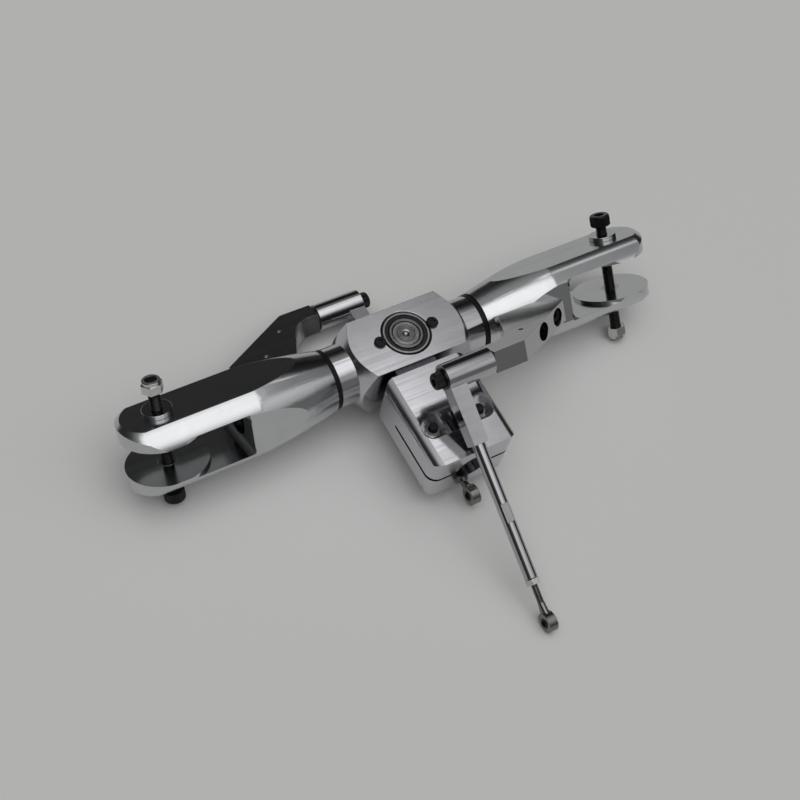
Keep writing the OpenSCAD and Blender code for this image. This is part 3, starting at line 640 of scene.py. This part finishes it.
# %% Ease the machined pieces
eased_widths = {"yoke": 0.0003, "hub_block": 0.0003, "teeter_pin": 0.0003, "teeter_inner_rings": 0.00025,
                "teeter_outer_rings": 0.0003, "teeter_shields": 0.0001, "bearing_screws": 0.00015,
                "clamp_nuts": 0.0002}
for side in SIDES:
    eased_widths.update({
        "grip_" + side: 0.00025, "pitch_arm_" + side: 0.00025, "link_head_" + side: 0.0002,
        "link_rod_" + side: 0.0002, "jam_nut_" + side: 0.00015, "blade_nut_" + side: 0.0002,
        "blade_bushes_" + side: 0.0002, "arm_screws_" + side: 0.00012})
for name, width in eased_widths.items():
    eased_copy(name, width)

# %% [markdown]
# ## Threads
# The blade bolts, the clamp bolts and the shanks of the rod ends show their threads. A thread
# could be a helix swept round the bolt. But it is a rule: the radius falls and rises once for
# each pitch, and starts later as the angle grows. So it is a Geometry Nodes tree on a plain
# cylinder, with the radius, length, pitch and depth as inputs.

# %% Helpers for Geometry Nodes
def new_tree(name, inputs):
    tree = bpy.data.node_groups.new(name, "GeometryNodeTree")
    for label, kind in inputs.items():
        tree.interface.new_socket(label, in_out="INPUT", socket_type="NodeSocket" + kind)
    tree.interface.new_socket("Geometry", in_out="OUTPUT", socket_type="NodeSocketGeometry")
    return tree, new_node(tree, "NodeGroupInput").outputs


def close_tree(tree, given, geometry):
    whole = new_node(tree, "GeometryNodeRealizeInstances", {"Geometry": geometry})
    dress = new_node(tree, "GeometryNodeSetMaterial", {
        "Geometry": whole.outputs["Geometry"], "Material": given["Material"]})
    new_node(tree, "NodeGroupOutput", {"Geometry": dress.outputs["Geometry"]})
    print(tree.name, "tree:", len(tree.nodes), "nodes")


print("Geometry Nodes helpers ready")

# %% Growing a mesh and making it a piece
def grow(tree, place, values):
    holder = bpy.data.objects.new(tree.name, bpy.data.meshes.new(tree.name))
    scene.collection.objects.link(holder)
    grown = holder.modifiers.new(tree.name, "NODES")
    grown.node_group = tree
    for item in tree.interface.items_tree:
        if item.in_out == "INPUT":
            grown[item.identifier] = values[item.name]
    mesh = applied(holder)
    bpy.data.objects.remove(holder)
    mesh.transform(place)
    return mesh


def one_piece(name, meshes, body):
    shape = bmesh.new()
    for mesh in meshes:
        shape.from_mesh(mesh)
    bmesh.ops.recalc_face_normals(shape, faces=shape.faces)
    whole = bpy.data.meshes.new(name)
    shape.to_mesh(whole)
    shape.free()
    for material in meshes[0].materials:
        whole.materials.append(material)
    piece = bpy.data.objects.new(name, whole)
    scene.collection.objects.link(piece)
    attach(piece, body)
    print(name, len(whole.polygons), "faces on", body)


print("pieces can be grown")

# %% Thread tree
def thread_tree(sides=24, rings_per_pitch=6.0):
    tree, given = new_tree("screw_thread", {
        "Radius": "Float", "Length": "Float", "Pitch": "Float", "Depth": "Float", "Material": "Material"})
    turns = maths(tree, "DIVIDE", given["Length"], given["Pitch"])
    bar = new_node(tree, "GeometryNodeMeshCylinder", {
        "Vertices": sides, "Radius": given["Radius"], "Depth": given["Length"],
        "Side Segments": maths(tree, "MULTIPLY", turns, rings_per_pitch)})
    point = new_node(tree, "GeometryNodeInputPosition").outputs[0]
    spot = new_node(tree, "ShaderNodeSeparateXYZ", {0: point}).outputs
    turned = maths(tree, "DIVIDE", maths(tree, "ARCTAN2", spot["Y"], spot["X"]), math.tau)
    climb = maths(tree, "DIVIDE", spot["Z"], given["Pitch"])
    phase = maths(tree, "FRACT", maths(tree, "SUBTRACT", climb, turned))
    valley = maths(tree, "ABSOLUTE", maths(tree, "SUBTRACT", maths(tree, "MULTIPLY", phase, 2.0), 1.0))
    drop = maths(tree, "MULTIPLY", valley, maths(tree, "DIVIDE", given["Depth"], given["Radius"]))
    keep = maths(tree, "SUBTRACT", 1.0, drop)
    cut = new_node(tree, "ShaderNodeCombineXYZ", {
        "X": maths(tree, "MULTIPLY", spot["X"], keep), "Y": maths(tree, "MULTIPLY", spot["Y"], keep),
        "Z": spot["Z"]})
    move = new_node(tree, "GeometryNodeSetPosition", {
        "Geometry": bar.outputs["Mesh"], "Position": cut.outputs[0]})
    close_tree(tree, given, move.outputs["Geometry"])
    return tree


screw_thread = thread_tree()

# %% [markdown]
# ## Where the bolts lie
# The frame says where each piece is, so the bolts' axes come from the middles of their boxes and
# from the turned frames. The two clamp bolts share a node, so they are placed by how far they lie
# back from the mast's mouth and out from its axis. What lies on a cylinder round an axis tells
# how far a thread or a head reaches along it.

# %% Axes of the bolts
clamp_setback = 0.0178
clamp_x = 0.0112


def reach(node, axis, radius):
    back = axis.inverted()
    spots = [back @ vert.co for vert in nodes[node].data.vertices]
    heights = [spot.z for spot in spots if abs(spot.xy.length - radius) < on_surface]
    return min(heights), max(heights)


def middle(node):
    low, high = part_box(node)
    return (Vector(low) + Vector(high)) / 2


def axis_at(point, direction):
    turn = Vector((0, 0, 1)).rotation_difference(direction).to_matrix().to_4x4()
    return Matrix.Translation(point) @ turn


blade_axis, rod_axis, pivot_axis = {}, {}, {}
for side in SIDES:
    blade_axis[side] = grip_frame[side] @ Matrix.Translation((middle("blade_bolt_" + side).x, 0, 0))
    ball = middle("rod_ball_" + side)
    rod_axis[side] = axis_at(ball, (middle("link_rod_" + side) - ball).normalized())
    pivot_axis[side] = axis_at(middle("pivot_screw_" + side), Vector((1, 0, 0)))
clamp_axes = [hub_frame @ Matrix.Translation((x, clamp_setback - mast_reach, 0)) for x in (-clamp_x, clamp_x)]
print("blade bolts at", [round(m.to_translation().x * 1000, 1) for m in blade_axis.values()], "mm")

# %% [markdown]
# ## Cutting the threads
# The copy of each bolt gets a thinner core, a little under the valleys, and the thread goes
# round it. It stops just short of both ends, so that no two faces lie in one plane.

# %% Threads on the bolts and rod ends
thread_short = 0.0002
bolt_edge = 0.00015
M3 = {"Radius": 0.0015, "Pitch": 0.0005, "Depth": 0.00025, "Core": 0.001225}
M4 = {"Radius": 0.0020, "Pitch": 0.0007, "Depth": 0.00035, "Core": 0.0016}
M5 = {"Radius": 0.0025, "Pitch": 0.0008, "Depth": 0.0004, "Core": 0.00206}


def thread_on(node, axis, size):
    low, high = reach(node, axis, size["Radius"])
    place = axis @ Matrix.Translation((0, 0, (low + high) / 2))
    return grow(screw_thread, place, {
        **size, "Length": high - low - thread_short, "Material": finish_of(node)})


def cut_threads(node, bolt_axes, size):
    eased_copy(node, bolt_edge, slimmer=[(axis, size["Radius"], size["Core"]) for axis in bolt_axes])
    threads = [thread_on(node, axis, size) for axis in bolt_axes]
    one_piece(node + "_thread", threads, body_of[node])


for side in SIDES:
    cut_threads("blade_bolt_" + side, [blade_axis[side]], M5)
    cut_threads("rod_end_" + side, [rod_axis[side]], M3)
cut_threads("clamp_bolts", clamp_axes, M4)

# %% [markdown]
# ## Necks of the rod ends
# A forged rod end flows from its eye into its shank, with no step. The neck is a loft: ellipses
# that shrink along the shank, wide in the plane of the eye and never thicker than it. Each ring
# gives its distance from the ball's centre, its half thickness and its half width.

# %% Rod end necks
neck_rings = [(0.0033, 0.0018, 0.00268), (0.0041, 0.00178, 0.00238), (0.0050, 0.00172, 0.00210),
              (0.0060, 0.00164, 0.00185), (0.0071, 0.00156, 0.00165), (0.0082, 0.00147, 0.00150),
              (0.0092, 0.00126, 0.00126)]
neck_sides = 28
eye_line = Vector((1, 0, 0))


def loft(rings, count):
    shape = bmesh.new()
    angles = [math.tau * i / count for i in range(count)]
    loops = [[shape.verts.new((thick * math.cos(angle), wide * math.sin(angle), z)) for angle in angles]
             for z, thick, wide in rings]
    for low, high in zip(loops, loops[1:]):
        for i in range(count):
            j = (i + 1) % count
            shape.faces.new((low[i], low[j], high[j], high[i])).smooth = True
    shape.faces.new(loops[0][::-1])
    shape.faces.new(loops[-1])
    mesh = bpy.data.meshes.new("loft")
    shape.to_mesh(mesh)
    shape.free()
    return mesh


for side in SIDES:
    node = "rod_end_" + side
    shank = rod_axis[side].to_3x3() @ Vector((0, 0, 1))
    wide_way = shank.cross(eye_line).normalized()
    turn = Matrix((wide_way.cross(shank), wide_way, shank)).transposed().to_4x4()
    neck = loft(neck_rings, neck_sides)
    neck.transform(Matrix.Translation(rod_axis[side].to_translation()) @ turn)
    neck.materials.append(finish_of(node))
    one_piece("rod_neck_" + side, [neck], body_of[node])

# %% [markdown]
# ## Knurled heads
# A cap screw's head has fine straight ridges, so that fingers can turn it. They repeat round a
# circle: a tree puts one small ridge on each point of a circle and turns it to look outwards.
# A bump in the material would vanish at the outline, where the ridges show best.

# %% Knurl tree
def knurl_tree(ridge_sides=4):
    tree, given = new_tree("head_knurl", {
        "Radius": "Float", "Height": "Float", "Count": "Int", "Ridge": "Float", "Material": "Material"})
    ring = new_node(tree, "GeometryNodeMeshCircle", {"Radius": given["Radius"], "Vertices": given["Count"]})
    ridge = new_node(tree, "GeometryNodeMeshCylinder", {
        "Vertices": ridge_sides, "Radius": given["Ridge"], "Depth": given["Height"]})
    point = new_node(tree, "GeometryNodeInputPosition").outputs[0]
    outwards = new_node(tree, "FunctionNodeAlignRotationToVector", {"Vector": point},
                        axis="X", pivot_axis="Z")
    put = new_node(tree, "GeometryNodeInstanceOnPoints", {
        "Points": ring.outputs["Mesh"], "Instance": ridge.outputs["Mesh"],
        "Rotation": outwards.outputs["Rotation"]})
    close_tree(tree, given, put.outputs["Instances"])
    return tree


head_knurl = knurl_tree()

# %% Knurls on the screw heads
ridge_radius = 0.00019
ridge_sunk = 0.00004
ridge_short = 0.0006
m5_head, m5_ridges = 0.004375, 60
m4_head, m4_ridges = 0.0035, 48


def knurl_on(node, axis, radius, count):
    low, high = reach(node, axis, radius)
    place = axis @ Matrix.Translation((0, 0, (low + high) / 2))
    return grow(head_knurl, place, {
        "Radius": radius - ridge_sunk, "Height": high - low - ridge_short, "Count": count,
        "Ridge": ridge_radius, "Material": finish_of(node)})


for side in SIDES:
    blade_bolt, pivot_screw = "blade_bolt_" + side, "pivot_screw_" + side
    eased_copy(pivot_screw, bolt_edge)
    knurls = [knurl_on(blade_bolt, blade_axis[side], m5_head, m5_ridges),
              knurl_on(pivot_screw, pivot_axis[side], m4_head, m4_ridges)]
    one_piece("head_knurls_" + side, knurls, "grip_" + side)

# %% [markdown]
# ## Nylon rings
# Each lock nut has a nylon ring in its collar, which grips the thread. It shows as a dull ring
# round the bolt's end. A torus would do for one nut, but a tree that sweeps a small circle round
# a larger one takes its sizes from any nut.

# %% Nylon ring tree
def ring_tree(path_points=40, rim_points=10):
    tree, given = new_tree("nylon_ring", {"Radius": "Float", "Thickness": "Float", "Material": "Material"})
    path = new_node(tree, "GeometryNodeCurvePrimitiveCircle", {
        "Resolution": path_points, "Radius": given["Radius"]})
    rim = new_node(tree, "GeometryNodeCurvePrimitiveCircle", {
        "Resolution": rim_points, "Radius": given["Thickness"]})
    sweep = new_node(tree, "GeometryNodeCurveToMesh", {
        "Curve": path.outputs["Curve"], "Profile Curve": rim.outputs["Curve"]})
    close_tree(tree, given, sweep.outputs["Mesh"])
    return tree


nylon_ring = ring_tree()
nylon = finish("nylon", (0.10, 0.12, 0.12), (0.18, 0.20, 0.20), (0.40, 0.55), FINE, 0.05, 0.05, metallic=0.0)

# %% Nylon rings in the nuts
flats_per_size = 1.6
collar_share = 0.94
bore_gap = 0.00005
ring_share = 0.36


def ring_on(node, axis, size, far_end):
    collar = size["Radius"] * flats_per_size * collar_share
    low, high = reach(node, axis, collar)
    bore = size["Radius"] + bore_gap
    thick = (collar - bore) * ring_share
    return grow(nylon_ring, axis @ Matrix.Translation((0, 0, high if far_end else low)), {
        "Radius": bore + thick, "Thickness": thick, "Material": nylon})


for side, far_end in (("left", True), ("right", False)):
    ring = ring_on("blade_nut_" + side, blade_axis[side], M5, far_end)
    one_piece("nylon_" + side, [ring], "grip_" + side)
one_piece("nylon_clamp", [ring_on("clamp_nuts", axis, M4, True) for axis in clamp_axes], "yoke")
